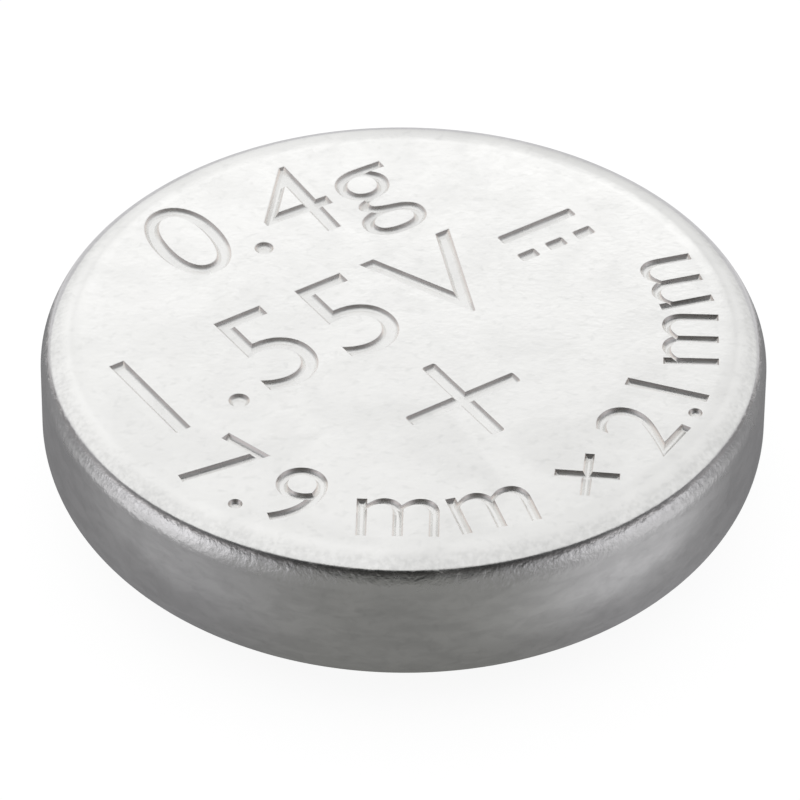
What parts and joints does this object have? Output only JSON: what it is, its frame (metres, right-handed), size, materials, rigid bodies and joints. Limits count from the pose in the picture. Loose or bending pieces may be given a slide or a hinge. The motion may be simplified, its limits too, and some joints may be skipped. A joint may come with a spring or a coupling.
{
  "type": "silver oxide button cell",
  "caption": "Low round metal cell with a crimped can over an insulating ring and a smaller cap: powers a watch through its two flat contact faces.",
  "frame": {"origin": "centre of the flat negative contact face, which the cell stands on", "axes": "+Z along the cell's axis from the negative contact to the positive contact"},
  "size_m": [0.0078, 0.0078, 0.0021],
  "materials": {
    "can_nickel": "nickel plate, softened by tumbling",
    "cap_nickel": "nickel plate, bright as drawn",
    "gasket_nylon": "natural nylon, slightly waxy",
    "silver_oxide": "pressed black powder",
    "ring_steel": "plain nickel-plated strip",
    "cellophane": "damp cellophane",
    "cellulose_felt": "wetted cellulose felt",
    "zinc_gel": "grey zinc powder in gel"
  },
  "bodies": {
    "root": {"positive_can": "can_nickel", "negative_cap": "cap_nickel", "sealing_gasket": "gasket_nylon", "cathode_pellet": "silver_oxide", "support_ring": "ring_steel", "barrier_membrane": "cellophane", "absorbent_separator": "cellulose_felt", "zinc_anode": "zinc_gel"}
  },
  "joints": []
}
